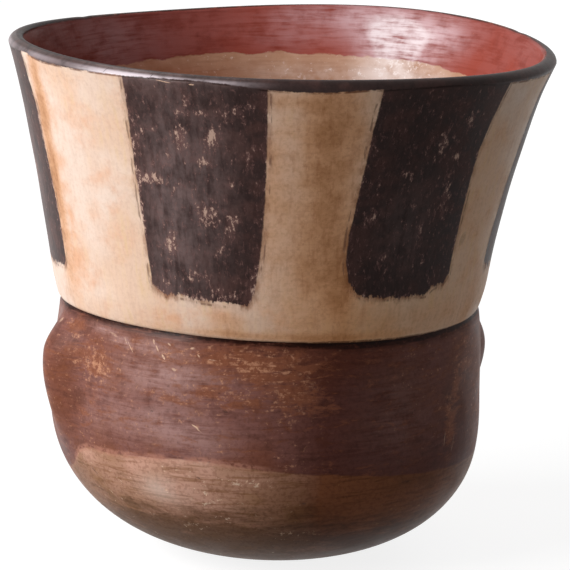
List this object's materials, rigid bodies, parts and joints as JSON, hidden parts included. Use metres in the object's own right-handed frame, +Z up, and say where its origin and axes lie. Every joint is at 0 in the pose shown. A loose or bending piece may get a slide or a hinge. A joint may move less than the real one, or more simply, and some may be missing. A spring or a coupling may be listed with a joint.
{
  "type": "globular cup",
  "caption": "Hand-built painted clay cup: round bowl and low belly, pinched waist under a rounded ledge, flaring neck with an uneven lip, and a modelled lug on each side.",
  "frame": {"origin": "middle of the cup's bounding box, on the table", "axes": "+Z up from the table, -Y towards the pictured side, +X towards the right lug's side"},
  "size_m": [0.1584, 0.1584, 0.1531],
  "materials": {
    "tan_slip": "burnished semi-gloss, worn, with scratches",
    "maroon_slip": "burnished semi-gloss, worn to orange-brown in patches",
    "cream_slip": "burnished satin, stained, with black painted panels",
    "black_slip": "burnished semi-gloss; the inside of the mouth is brick red"
  },
  "bodies": {
    "root": {"base_bowl": "tan_slip", "belly_wall": "maroon_slip", "neck_wall": "cream_slip", "rim_coil": "black_slip", "left_lug": "maroon_slip", "right_lug": "maroon_slip"}
  },
  "joints": []
}
